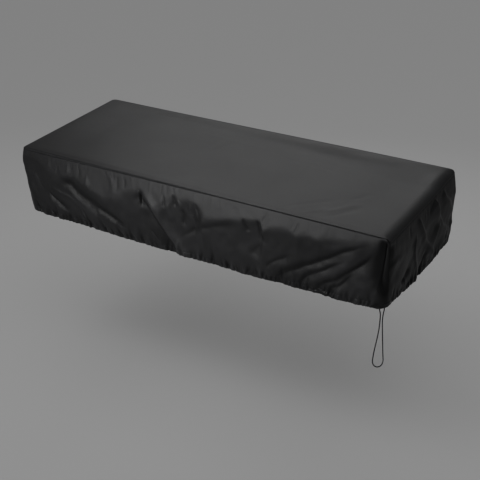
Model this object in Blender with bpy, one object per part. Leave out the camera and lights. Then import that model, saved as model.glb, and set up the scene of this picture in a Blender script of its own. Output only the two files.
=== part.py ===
"""Fitted dust cover of black nylon, as it hangs over a long low box.

A flat top panel is sewn to one skirt that runs round all four sides. The skirt ends in a casing
hem, and the drawcord in that casing comes out at the front right corner as a hanging loop.
The frame is in metres: X along the cover, its front at -Y, +Z up, and the origin under the middle
of the top panel, where it is carried.
"""

import math

import bmesh
import bpy
import numpy as np
from mathutils import Vector

# Driving dimensions, in metres
LENGTH = 1.050
WIDTH = 0.426
CLOTH = 0.002
SEAM_GAP = 0.0003
SEAM_CORNER_RADIUS = 0.009
HEM_CORNER_RADIUS = 0.036
CASING_DEPTH = 0.016
CASING_THICKNESS = 0.005
CORD_DIAMETER = 0.003

MM = 0.001

# Columns of the mesh: four straight sides and four corners, going round from the front left
SIDES = ("front", "right", "back", "left")
SIDE_COLUMNS = {"front": 72, "right": 24, "back": 52, "left": 24}
SIDE_ANGLE = {"front": -90.0, "right": 0.0, "back": 90.0, "left": 180.0}
SIDE_END = {"front": (1, -1), "right": (1, 1), "back": (-1, 1), "left": (-1, -1)}
CORNER_COLUMNS = 8
COLUMN_COUNT = sum(SIDE_COLUMNS.values()) + 4 * CORNER_COLUMNS

# Rows of the skirt, as shares of the way from the seam to the hem
SKIRT_ROWS = (0.0, 0.085, 0.18, 0.29, 0.41, 0.55, 0.69, 0.82, 0.92, 1.0)

# The corner's radius grows with this power of the share; the folds fade in over the first share
CORNER_GROWTH = 1.6
SEAM_HOLD = 0.12

# Under its crest the wall draws in, part of the way steadily and the rest close to the hem
STEADY_PART = 0.75
STEADY_POWER = 1.25
LATE_POWER = 6.0

# The left end is cut a little out of square: its back corner lies further out
LEFT_SKEW = 0.013

# Rolled rim of the top panel: how far it turns in and down on each side, in millimetres
RIM_INSET = {"front": 7, "right": 17, "back": 11, "left": 8}
RIM_DROP = {"front": 5, "right": 10, "back": 6, "left": 5}
RIM_TURNS = (0.0, 40.0, 90.0)

# Shape of the walls along each side, in millimetres: lift of the rim over the level top, bulge of
# the wall and the depth of its crest, then how far the hem draws in and how low it hangs
# (along, lift, bulge, crest_depth, hem_inset, hem_drop)
WALL_ROWS = {
    "front": (
        (-500, 0.0, 6.5, 32, 5, 183),
        (-380, 0.0, 9.0, 44, 9, 187),
        (-285, 0.0, 10.0, 56, 14, 193),
        (-235, 0.0, 10.5, 60, 16, 195),
        (-165, 0.0, 9.0, 34, 16, 195),
        (-105, 0.0, 10.0, 64, 16, 196),
        (30, 0.0, 10.5, 76, 16, 197),
        (150, 0.0, 10.0, 50, 15, 197),
        (240, 0.0, 9.5, 46, 14, 196),
        (350, 0.0, 8.5, 42, 12, 193),
        (430, 0.0, 7.0, 34, 9, 191),
        (500, 0.0, 5.0, 26, 7, 187),
    ),
    "right": (
        (-175, 0.0, 4.0, 30, 6, 188),
        (-74, 0.0, 5.0, 44, 2, 196),
        (10, 0.5, 5.0, 46, 0, 197),
        (90, 2.0, 5.5, 40, -3, 192),
        (175, 6.0, 6.0, 30, -8, 181),
    ),
    "back": (
        (500, 7.0, 6.0, 30, -6, 181),
        (330, 6.5, 8.0, 44, 6, 184),
        (140, 5.0, 9.5, 68, 13, 188),
        (-60, 3.0, 9.0, 48, 15, 190),
        (-300, 1.0, 9.0, 60, 11, 190),
        (-500, 0.0, 6.0, 34, 4, 189),
    ),
    "left": (
        (175, 0.0, 5.0, 32, 3, 189),
        (-30, 0.0, 7.0, 52, 6, 191),
        (-175, 0.0, 6.5, 32, 4, 183),
    ),
}

# Main folds of the skirt, in millimetres: a curve from start by way of middle to end, each point
# given along its side and below the seam; half_width is across the fold, rise is outwards
# (side, start, start_depth, middle, middle_depth, end, end_depth, half_width, rise)
FOLDS = (
    ("front", -384, 40, -352, 118, -215, 160, 13, 9.0),
    ("front", -360, 44, -318, 104, -205, 134, 14, -8.0),
    ("front", -456, 100, -420, 132, -372, 172, 13, 6.0),
    ("front", -440, 84, -395, 128, -320, 168, 13, -5.0),
    ("front", -165, 26, -142, 84, -76, 146, 13, -8.0),
    ("front", -178, 30, -176, 70, -170, 96, 11, 4.0),
    ("front", -130, 40, -104, 72, -96, 108, 12, 4.0),
    ("front", -80, 30, -60, 64, -62, 102, 11, -5.0),
    ("front", -34, 34, -30, 64, -40, 92, 14, 3.5),
    ("front", 60, 60, 90, 96, 40, 150, 26, -3.5),
    ("front", 157, 50, 163, 70, 168, 92, 11, -4.0),
    ("front", 198, 50, 204, 78, 206, 104, 11, -5.0),
    ("front", 292, 20, 286, 48, 262, 92, 14, 3.5),
    ("front", 486, 22, 372, 96, 246, 196, 13, -9.0),
    ("front", 494, 34, 410, 96, 300, 182, 14, 6.0),
    ("front", 490, 44, 396, 116, 312, 204, 12, -7.0),
    ("front", 500, 58, 432, 116, 352, 190, 14, 6.0),
    ("front", 508, 34, 440, 122, 360, 206, 12, -7.5),
    ("right", -42, 10, 2, 78, 84, 190, 13, 6.5),
    ("right", 40, 26, 58, 90, 76, 156, 13, -7.0),
    ("right", 78, 20, 122, 84, 182, 146, 13, 6.0),
    ("right", 206, 118, 160, 152, 110, 186, 12, 4.5),
    ("right", -22, 62, -40, 112, 0, 196, 12, 5.0),
    ("right", 14, 130, 12, 164, -4, 200, 11, -7.0),
    ("right", -180, 60, -150, 110, -70, 200, 22, 4.5),
    ("back", 460, 30, 380, 104, 270, 196, 14, 7.0),
    ("back", 420, 24, 330, 96, 220, 190, 14, -6.5),
    ("back", 140, 36, 120, 92, 60, 168, 15, 5.5),
    ("back", -20, 40, -10, 86, -44, 150, 13, -5.5),
    ("back", -130, 36, -190, 104, -230, 188, 15, 6.0),
    ("back", -300, 30, -260, 92, -270, 150, 14, -5.5),
    ("back", -490, 30, -410, 110, -330, 198, 14, 7.5),
    ("back", -470, 60, -370, 130, -290, 200, 13, -7.0),
    ("left", 150, 22, 90, 90, 60, 188, 14, 6.5),
    ("left", 110, 22, 50, 88, 24, 190, 13, -6.0),
    ("left", -20, 30, -14, 92, -50, 190, 14, 5.5),
    ("left", -110, 26, -96, 96, -130, 188, 14, -5.5),
    ("left", -180, 36, -130, 110, -84, 196, 13, 5.0),
)
FOLD_STEPS = 17
FOLD_TAPERS = (0.20, 0.16)

# Gathers that the drawcord pulls into the hem: (waves round the cover, rise in mm, phase)
GATHERS = ((41, 0.8, 0.4), (57, 0.7, 2.1), (23, 0.7, 4.0))
GATHER_REACH = 0.045

# The top lies slack: a trough in front of the back rim, and a droop at the front left corner
LIFT_REACH = 0.042
TROUGH_DEPTH = 0.003
TROUGH_FROM_BACK = 0.052
TROUGH_HALF_WIDTH = 0.020
TROUGH_END = 0.090
DROOP = 0.003
DROOP_REACH = (0.130, 0.045)
TOP_RING_INSETS = (28, 52, 80)
TOP_RING_STEP = 4

# The drawcord loop: the columns of the front right corner where its ends come out of the hem, and
# its route between them, in millimetres from midway: along the hem, down, and outwards
CORD_COLUMNS = (3.6, 6.0)
CORD_ROUTE = (
    (-5.9, 5.0, -0.2),
    (-3.8, 12.0, -0.3),
    (-2.6, 21.0, -0.5),
    (-2.3, 39.0, -0.8),
    (-3.3, 59.0, -1.0),
    (-5.4, 75.0, -1.0),
    (-8.0, 91.0, -0.9),
    (-12.2, 114.0, -0.6),
    (-15.0, 134.0, -0.3),
    (-15.3, 146.0, -0.1),
    (-12.7, 154.0, 0.0),
    (-7.6, 160.2, 0.2),
    (-0.2, 164.2, 0.4),
    (7.7, 163.6, 0.6),
    (12.5, 158.6, 0.8),
    (14.2, 150.4, 0.9),
    (13.3, 139.0, 1.0),
    (11.8, 127.0, 1.1),
    (9.9, 107.6, 1.2),
    (7.5, 84.0, 1.1),
    (5.4, 61.0, 0.9),
    (3.9, 41.0, 0.6),
    (4.0, 28.0, 0.3),
    (5.2, 15.0, 0.1),
    (7.0, 6.0, 0.0),
)
CORD_POINTS = 46
CORD_ROUNDNESS = 2
PATH_STEPS = 24

SHARP_ANGLE = 50.0


def smooth(share):
    """Eased 0 to 1."""
    share = min(max(float(share), 0.0), 1.0)
    return share * share * (3.0 - 2.0 * share)


def side_before(side):
    return SIDES[SIDES.index(side) - 1]


def side_after(side):
    return SIDES[(SIDES.index(side) + 1) % 4]


def column_at(position):
    """(side, share along it, turn round the corner at its end) for a column, or between two."""
    for side in SIDES:
        if position < SIDE_COLUMNS[side]:
            return side, position / SIDE_COLUMNS[side], 0.0
        position -= SIDE_COLUMNS[side]
        if position < CORNER_COLUMNS:
            return side, 1.0, position / CORNER_COLUMNS
        position -= CORNER_COLUMNS
    raise ValueError("position lies past the last column")


def facing(column):
    """Angle of the column's outward normal, in degrees."""
    side, _, turn = column
    return SIDE_ANGLE[side] + 90.0 * turn


def outline(column, radius, outwards=0.0):
    """(x, y) of a column on the rounded rectangle with that corner radius, moved outwards."""
    side, share, _ = column
    half_x, half_y = LENGTH / 2 - radius, WIDTH / 2 - radius
    start, end = SIDE_END[side_before(side)], SIDE_END[side]
    angle = math.radians(facing(column))
    reach = radius + outwards
    x = half_x * (start[0] + (end[0] - start[0]) * share) + reach * math.cos(angle)
    y = half_y * (start[1] + (end[1] - start[1]) * share) + reach * math.sin(angle)
    return x, y


def skewed(x, y):
    """The same point with the left end's back corner moved out."""
    towards_left = max(0.0, -2.0 * x / LENGTH) ** 3
    return x - LEFT_SKEW * towards_left * (y / WIDTH + 0.5)


def along(side, x, y):
    """Position along a side: X on the front and back, Y on the ends."""
    return x if side in ("front", "back") else y


def wall_values(column):
    """(lift, bulge, crest_depth, hem_inset, hem_drop) at a column, in metres, eased at corners."""
    side, _, turn = column
    x, y = outline(column, SEAM_CORNER_RADIUS)
    values = []
    for name in (side, side_after(side)):
        table = np.array(sorted(WALL_ROWS[name])) * MM
        at = along(name, x, y)
        values.append(np.array([np.interp(at, table[:, 0], row) for row in table[:, 1:].T]))
    here, there = values
    return here + (there - here) * smooth(turn)


def rim_value(column, values):
    """A value of the rim that each side has, eased at corners, in metres."""
    side, _, turn = column
    here, there = values[side] * MM, values[side_after(side)] * MM
    return here + (there - here) * smooth(turn)


def seam_height(column):
    return CLOTH + wall_values(column)[0] - rim_value(column, RIM_DROP)


def fold_curve(fold):
    """Points down the middle of a fold, as (along, depth) in metres."""
    t = np.linspace(0.0, 1.0, FOLD_STEPS)[:, None]
    start, middle, end = np.array(fold[1:7], float).reshape(3, 2) * MM
    control = 2.0 * middle - (start + end) / 2.0
    return (1 - t) ** 2 * start + 2 * t * (1 - t) * control + t * t * end


FOLD_CURVES = [(fold, fold_curve(fold)) for fold in FOLDS]


def fold_rise(column, x, y, depth):
    """How far the folds push the cloth outwards at this point."""
    total = 0.0
    for fold, curve in FOLD_CURVES:
        side, half_width, rise = fold[0], fold[7] * MM, fold[8] * MM
        towards = math.cos(math.radians(facing(column) - SIDE_ANGLE[side]))
        if towards <= 0.0:
            continue
        away = np.linalg.norm(curve - np.array((along(side, x, y), depth)), axis=1)
        nearest = int(away.argmin())
        share = nearest / (FOLD_STEPS - 1)
        taper = smooth(share / FOLD_TAPERS[0]) * smooth((1.0 - share) / FOLD_TAPERS[1])
        total += rise * taper * towards * math.exp(-((away[nearest] / half_width) ** 2))
    return total


def gather_rise(position, above_hem):
    """Soft waves that grow towards the drawn hem."""
    turn = 2.0 * math.pi * position / COLUMN_COUNT
    waves = sum(rise * MM * math.sin(count * turn + phase) for count, rise, phase in GATHERS)
    return waves * smooth(1.0 - above_hem / GATHER_REACH)


def wall_offset(depth, drop, bulge, crest, hem_inset):
    """Outward offset of the wall without folds: out to the crest, then in to the hem."""
    if depth <= crest:
        return bulge * math.sin(0.5 * math.pi * depth / crest)
    under = (depth - crest) / (drop - crest)
    drawn = STEADY_PART * under**STEADY_POWER + (1.0 - STEADY_PART) * under**LATE_POWER
    return bulge - (bulge + hem_inset) * drawn


def skirt_point(position, share):
    """Outer surface of the skirt at a column's position and a share of the way down."""
    column = column_at(position)
    _, bulge, crest, hem_inset, hem_drop = wall_values(column)
    top = seam_height(column) - SEAM_GAP
    drop = top + hem_drop
    depth = share * drop
    growth = share**CORNER_GROWTH
    radius = SEAM_CORNER_RADIUS + (HEM_CORNER_RADIUS - SEAM_CORNER_RADIUS) * growth
    x, y = outline(column, radius)
    offset = wall_offset(depth, drop, bulge, crest, hem_inset)
    offset += smooth(share / SEAM_HOLD) * fold_rise(column, x, y, depth)
    offset += gather_rise(position, drop - depth)
    x, y = outline(column, radius, offset)
    return Vector((skewed(x, y), y, top - depth))


def skirt_thickness(above_hem):
    """Cloth, thickening to the doubled hem round the drawcord."""
    return CLOTH + (CASING_THICKNESS - CLOTH) * smooth(1.0 - above_hem / CASING_DEPTH)


def make_material(name, colour, roughness):
    material = bpy.data.materials.new(name)
    material.use_nodes = True
    shader = material.node_tree.nodes["Principled BSDF"]
    shader.inputs["Base Color"].default_value = (*colour, 1.0)
    shader.inputs["Roughness"].default_value = roughness
    shader.inputs["Metallic"].default_value = 0.0
    return material


def mesh_object(name, work, material):
    """A closed, outward-facing, smooth-shaded object from the edit mesh."""
    bmesh.ops.recalc_face_normals(work, faces=work.faces)
    mesh = bpy.data.meshes.new(name)
    work.to_mesh(mesh)
    work.free()
    mesh.shade_smooth()
    mesh.set_sharp_from_angle(angle=math.radians(SHARP_ANGLE))
    mesh.materials.append(material)
    obj = bpy.data.objects.new(name, mesh)
    bpy.context.scene.collection.objects.link(obj)
    return obj


def bridge(work, ring, other):
    """Quads between two closed rings with the same number of points."""
    for i in range(len(ring)):
        j = (i + 1) % len(ring)
        work.faces.new((ring[i], ring[j], other[j], other[i]))


def inward_normals(grid):
    """Unit vectors into the cover at each point of a stack of closed rings."""
    normals = []
    for r, ring in enumerate(grid):
        above, below = grid[max(r - 1, 0)], grid[min(r + 1, len(grid) - 1)]
        row = []
        for i in range(len(ring)):
            round_it = ring[(i + 1) % len(ring)] - ring[i - 1]
            row.append(round_it.cross(below[i] - above[i]).normalized())
        normals.append(row)
    return normals


def level_inward(position):
    angle = math.radians(facing(column_at(position)))
    return Vector((-math.cos(angle), -math.sin(angle), 0.0))


def build_skirt(material):
    """One strip of cloth round all four sides, closed by its thickness, with a thicker hem."""
    outer = [[skirt_point(i, share) for i in range(COLUMN_COUNT)] for share in SKIRT_ROWS]
    inwards = inward_normals(outer)
    work = bmesh.new()
    outer_rings, inner_rings = [], []
    for r, points in enumerate(outer):
        edge = r in (0, len(outer) - 1)
        inner = []
        for i, point in enumerate(points):
            direction = level_inward(i) if edge else inwards[r][i]
            thickness = skirt_thickness(point.z - outer[-1][i].z)
            inner.append(point + direction * thickness)
        outer_rings.append([work.verts.new(point) for point in points])
        inner_rings.append([work.verts.new(point) for point in inner])
    section = outer_rings + inner_rings[::-1]
    for k, ring in enumerate(section):
        bridge(work, ring, section[(k + 1) % len(section)])
    return mesh_object("skirt", work, material)


def top_sag(x, y):
    """How far the top lies below its level: a trough before the back rim and a corner's droop."""
    from_trough = (WIDTH / 2 - y - TROUGH_FROM_BACK) / TROUGH_HALF_WIDTH
    trough = TROUGH_DEPTH * math.exp(-(from_trough**2)) * smooth((LENGTH / 2 - abs(x)) / TROUGH_END)
    to_corner = ((x + LENGTH / 2) / DROOP_REACH[0]) ** 2 + ((y + WIDTH / 2) / DROOP_REACH[1]) ** 2
    return trough + DROOP * math.exp(-to_corner)


def top_point(column, wall, insets, height):
    """Point of the top panel, moved in by the wall and then by each side's inset, in metres."""
    x, y = outline(column, SEAM_CORNER_RADIUS, -wall)
    x *= 1.0 - insets["right" if x > 0 else "left"] * 2 / LENGTH
    y *= 1.0 - insets["back" if y > 0 else "front"] * 2 / WIDTH
    return Vector((skewed(x, y), y, height))


def rim_ring(turn, outer):
    """Ring of points at an angle round the rolled rim, from its seam at 0 to its crest at 90."""
    wall = 0.0 if outer else CLOTH
    level = CLOTH if outer else 0.0
    angle = math.radians(turn)
    insets = {s: (RIM_INSET[s] * MM - wall) * (1.0 - math.cos(angle)) for s in SIDES}
    ring = []
    for i in range(COLUMN_COUNT):
        column = column_at(i)
        lift, seam = wall_values(column)[0], seam_height(column)
        height = seam + (level + lift - seam) * math.sin(angle)
        point = top_point(column, wall, insets, height)
        point.z -= top_sag(point.x, point.y) * math.sin(angle)
        ring.append(point)
    return ring


def level_ring(inset, outer):
    """Ring of points on the level part of the top, with fewer columns."""
    level = CLOTH if outer else 0.0
    insets = {s: inset * MM for s in SIDES}
    ring = []
    for i in range(0, COLUMN_COUNT, TOP_RING_STEP):
        column = column_at(i)
        lift = wall_values(column)[0] * smooth(1.0 - inset * MM / LIFT_REACH)
        point = top_point(column, 0.0, insets, level + lift)
        point.z -= top_sag(point.x, point.y)
        ring.append(point)
    return ring


def build_top(material):
    """The top panel: level in the middle, rolled down to the seam at its rim."""
    work = bmesh.new()
    seams = []
    for outer in (True, False):
        fine = [[work.verts.new(p) for p in rim_ring(turn, outer)] for turn in RIM_TURNS]
        coarse = [[work.verts.new(p) for p in level_ring(k, outer)] for k in TOP_RING_INSETS]
        seams.append(fine[0])
        for ring, inner in zip(fine, fine[1:]):
            bridge(work, ring, inner)
        for ring, inner in zip(coarse, coarse[1:]):
            bridge(work, ring, inner)
        crest, first = fine[-1], coarse[0]
        for j in range(len(first)):
            steps = range(j * TOP_RING_STEP, (j + 1) * TOP_RING_STEP + 1)
            edge = [crest[k % COLUMN_COUNT] for k in steps]
            work.faces.new([*edge, first[(j + 1) % len(first)], first[j]])
        work.faces.new(coarse[-1])
    bridge(work, *seams)
    return mesh_object("top_panel", work, material)


def smooth_path(points, count):
    """Evenly spaced points on a smooth curve through the given ones."""
    points = np.array(points, float)
    padded = np.vstack((2 * points[0] - points[1], points, 2 * points[-1] - points[-2]))
    dense = []
    for p0, p1, p2, p3 in zip(padded, padded[1:], padded[2:], padded[3:]):
        bend, twist = 2 * p0 - 5 * p1 + 4 * p2 - p3, 3 * p1 - p0 - 3 * p2 + p3
        for t in np.linspace(0.0, 1.0, PATH_STEPS, endpoint=False):
            dense.append(p1 + 0.5 * ((p2 - p0) * t + bend * t * t + twist * t**3))
    dense = np.array([*dense, points[-1]])
    travelled = np.concatenate(([0.0], np.cumsum(np.linalg.norm(np.diff(dense, axis=0), axis=1))))
    at = np.linspace(0.0, travelled[-1], count)
    return np.stack([np.interp(at, travelled, dense[:, k]) for k in range(3)], axis=1)


def cord_exit(column):
    """Middle of the hem's lower face at a column of the front right corner, less the gap."""
    before = SIDE_COLUMNS["front"] + int(column)
    ends = [
        skirt_point(position, 1.0) + level_inward(position) * CASING_THICKNESS / 2
        for position in (before, before + 1)
    ]
    return ends[0].lerp(ends[1], column - int(column)) - Vector((0.0, 0.0, SEAM_GAP))


def cord_route():
    """The loop's points from one exit to the other."""
    start, end = (cord_exit(column) for column in CORD_COLUMNS)
    sideways = (end - start).normalized()
    down = Vector((0.0, 0.0, -1.0))
    outwards = down.cross(sideways).normalized()
    middle = (start + end) / 2
    hanging = [middle + (sideways * a + down * d + outwards * o) * MM for a, d, o in CORD_ROUTE]
    return [start, *hanging, end]


def build_drawcord(material):
    """The loop of drawcord that hangs out of the hem at the front right corner."""
    points = smooth_path(cord_route(), CORD_POINTS)
    curve = bpy.data.curves.new("drawcord", "CURVE")
    curve.dimensions = "3D"
    curve.bevel_depth = CORD_DIAMETER / 2
    curve.bevel_resolution = CORD_ROUNDNESS
    curve.use_fill_caps = True
    spline = curve.splines.new("POLY")
    spline.points.add(len(points) - 1)
    for target, point in zip(spline.points, points):
        target.co = (*point, 1.0)
    curve.materials.append(material)
    obj = bpy.data.objects.new("drawcord", curve)
    bpy.context.scene.collection.objects.link(obj)
    return obj


def main():
    for obj in list(bpy.data.objects):
        bpy.data.objects.remove(obj, do_unlink=True)
    nylon = make_material("black_nylon", (0.018, 0.018, 0.019), 0.55)
    cord = make_material("black_cord", (0.012, 0.012, 0.013), 0.7)
    build_top(nylon)
    build_skirt(nylon)
    build_drawcord(cord)


main()
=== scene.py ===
"""The looks of a fitted dust cover of black nylon, in metres, in the frame of its solids.

The cover is two thin sheets: a flat top panel with a rolled rim, and a skirt whose wall bulges over
a crest, tucks in below it and ends in a gathered casing hem. A loop of drawcord hangs from the hem.
"""

import math

import bpy
import numpy as np
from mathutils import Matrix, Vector


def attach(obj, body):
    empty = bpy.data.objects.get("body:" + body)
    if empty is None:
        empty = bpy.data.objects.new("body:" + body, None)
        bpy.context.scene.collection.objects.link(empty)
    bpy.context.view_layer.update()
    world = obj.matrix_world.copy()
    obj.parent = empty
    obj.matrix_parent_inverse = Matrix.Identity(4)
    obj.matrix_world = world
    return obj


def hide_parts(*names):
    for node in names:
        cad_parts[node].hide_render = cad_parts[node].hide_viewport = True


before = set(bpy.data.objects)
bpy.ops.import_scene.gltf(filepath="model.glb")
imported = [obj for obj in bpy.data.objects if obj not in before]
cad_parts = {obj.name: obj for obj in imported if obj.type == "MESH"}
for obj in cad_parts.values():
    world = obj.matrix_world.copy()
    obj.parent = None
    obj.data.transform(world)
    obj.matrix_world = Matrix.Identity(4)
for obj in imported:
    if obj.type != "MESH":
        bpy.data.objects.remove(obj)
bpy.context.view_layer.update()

MM = 0.001

# Size of the top at its seam, height of its level part, and the two sheets as they are cut
LENGTH = 1.050
WIDTH = 0.426
LEVEL = 0.002

# Thickness of the cloth and of the hem, and height of the hem's casing
NYLON = 0.0009
HEM_THICKNESS = 0.0042
CASING = 0.016

# Corner radius at the seam and at the hem, and how late it grows on the way down
SEAM_RADIUS = 0.009
HEM_RADIUS = 0.036
CORNER_GROWTH = 1.6

# How far out the back corner of the left end lies
LEFT_SKEW = 0.013

# The four sides, front, right, back and left: where each faces and where it starts
SIDE_ANGLES = np.radians((-90.0, 0.0, 90.0, 180.0))
SIDE_STARTS = np.array(((-1, -1), (1, -1), (1, 1), (-1, 1)), float)

# Columns of the meshes along each side and round each corner
SKIRT_COLUMNS = (460, 172, 206, 84)
SKIRT_CORNER = 16
TOP_COLUMNS = (250, 96)
TOP_CORNER = 10

# Rows of the skirt's mesh, in millimetres: the close ones below the seam and above the hem, and how
# many lie between them
SEAM_ZONE = (0.0, 0.3, 0.8, 1.4, 2.2, 3.4, 5.2, 7.6)
HEM_ZONE = (
    23.0, 20.6, 18.6, 17.0, 16.0, 15.0, 13.4, 11.6, 9.6, 7.6, 5.8, 4.2, 2.9, 1.9, 1.0, 0.4, 0.0,
)
MIDDLE_ROWS = 50

# Shape of the walls along each side, in millimetres: lift of the rim over the level top, bulge of
# the wall and the depth of its crest, then how far the hem draws in and how low it hangs
# (along, lift, bulge, crest_depth, hem_inset, hem_drop)
FRONT_WALL = (
    (-500, -1.5, 3.2, 13, 4, 181),
    (-487, -1.5, 3.6, 16, 5, 184),
    (-461, -1.5, 5.4, 29, 7, 185),
    (-439, -1.5, 8.0, 48, 8, 186),
    (-416, -1.4, 8.0, 47, 8, 186),
    (-387, -1.2, 7.5, 42, 9, 187),
    (-357, -1.0, 7.5, 42, 11, 189),
    (-328, -0.8, 9.5, 55, 12, 190),
    (-300, -0.5, 10.5, 66, 13, 192),
    (-260, 0.0, 11.0, 79, 15, 194),
    (-227, 0.4, 11.0, 71, 16, 195),
    (-208, 0.5, 9.5, 56, 16, 195),
    (-180, 0.7, 7.5, 41, 16, 195),
    (-143, 1.0, 5.5, 30, 16, 195),
    (-125, 1.1, 8.0, 46, 16, 196),
    (-105, 1.2, 9.5, 62, 16, 196),
    (-88, 1.3, 9.5, 62, 16, 196),
    (-70, 1.5, 8.0, 44, 16, 196),
    (-56, 1.5, 6.5, 34, 16, 197),
    (-39, 1.6, 5.0, 22, 16, 197),
    (-27, 1.7, 6.0, 32, 16, 197),
    (-7, 1.9, 5.5, 28, 16, 197),
    (16, 2.1, 5.5, 30, 16, 197),
    (27, 2.2, 9.0, 52, 16, 197),
    (40, 2.4, 10.5, 66, 16, 197),
    (80, 2.8, 10.0, 60, 16, 197),
    (120, 3.0, 9.0, 50, 16, 197),
    (149, 3.1, 8.0, 43, 15, 197),
    (164, 3.1, 7.0, 37, 15, 197),
    (189, 3.1, 6.5, 33, 14, 197),
    (203, 3.2, 7.0, 37, 14, 197),
    (211, 3.2, 9.5, 58, 14, 196),
    (228, 3.2, 8.0, 45, 14, 196),
    (253, 3.2, 7.0, 36, 14, 196),
    (276, 3.3, 7.0, 37, 13, 195),
    (302, 3.3, 8.0, 45, 13, 194),
    (330, 3.3, 7.0, 39, 13, 194),
    (358, 3.4, 7.5, 42, 12, 193),
    (390, 3.4, 6.0, 33, 11, 192),
    (422, 3.4, 5.5, 28, 10, 191),
    (454, 3.5, 4.5, 23, 9, 190),
    (480, 3.5, 3.5, 18, 8, 188),
    (500, 3.5, 3.0, 14, 7, 186),
)
RIGHT_WALL = (
    (-175, 0.0, 4.0, 30, 5, 186),
    (-74, 0.0, 5.0, 44, 2, 196),
    (10, 0.5, 5.0, 46, 2, 197),
    (90, 2.0, 5.5, 40, 2, 191),
    (175, 6.0, 6.0, 30, -8, 181),
)
BACK_WALL = (
    (500, 7.0, 6.0, 30, -6, 181),
    (330, 6.5, 8.0, 44, 6, 184),
    (140, 5.0, 9.5, 68, 13, 188),
    (-60, 3.0, 9.0, 48, 15, 190),
    (-300, 1.0, 9.0, 60, 11, 190),
    (-500, 0.0, 6.0, 34, 4, 189),
)
LEFT_WALL = (
    (175, 0.0, 6.0, 34, 2, 189),
    (-30, 0.0, 8.5, 54, 4, 191),
    (-175, 0.0, 8.5, 42, 4, 182),
)
WALLS = (FRONT_WALL, RIGHT_WALL, BACK_WALL, LEFT_WALL)

# How softly the wall turns over its crest, and the part of its tuck that comes late, at the hem
CREST_SOFTNESS = 0.0045
LATE_PART = 0.12
LATE_POWER = 6.0

# The groove at the seam, in millimetres for its reach on each side
SEAM_DIP = 0.0002
GROOVE_DEPTH = 0.0025
GROOVE_REACH = (0.55, 1.4, 0.5, 0.7)

# The hem: slack cloth above it, its scallops, and the curl of cloth under it, by its turns in
# degrees
HEM_SLACK = 0.0015
SLACK_FROM = 0.5
SLACK_OVER = 0.4
SCALLOP = 0.0004
SCALLOP_SHARES = (1.0, 0.6)
HEM_CURL = (35.0, 75.0, 120.0)
CURL_RADIUS = 0.0020
CURL_SQUASH = 0.6

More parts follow.
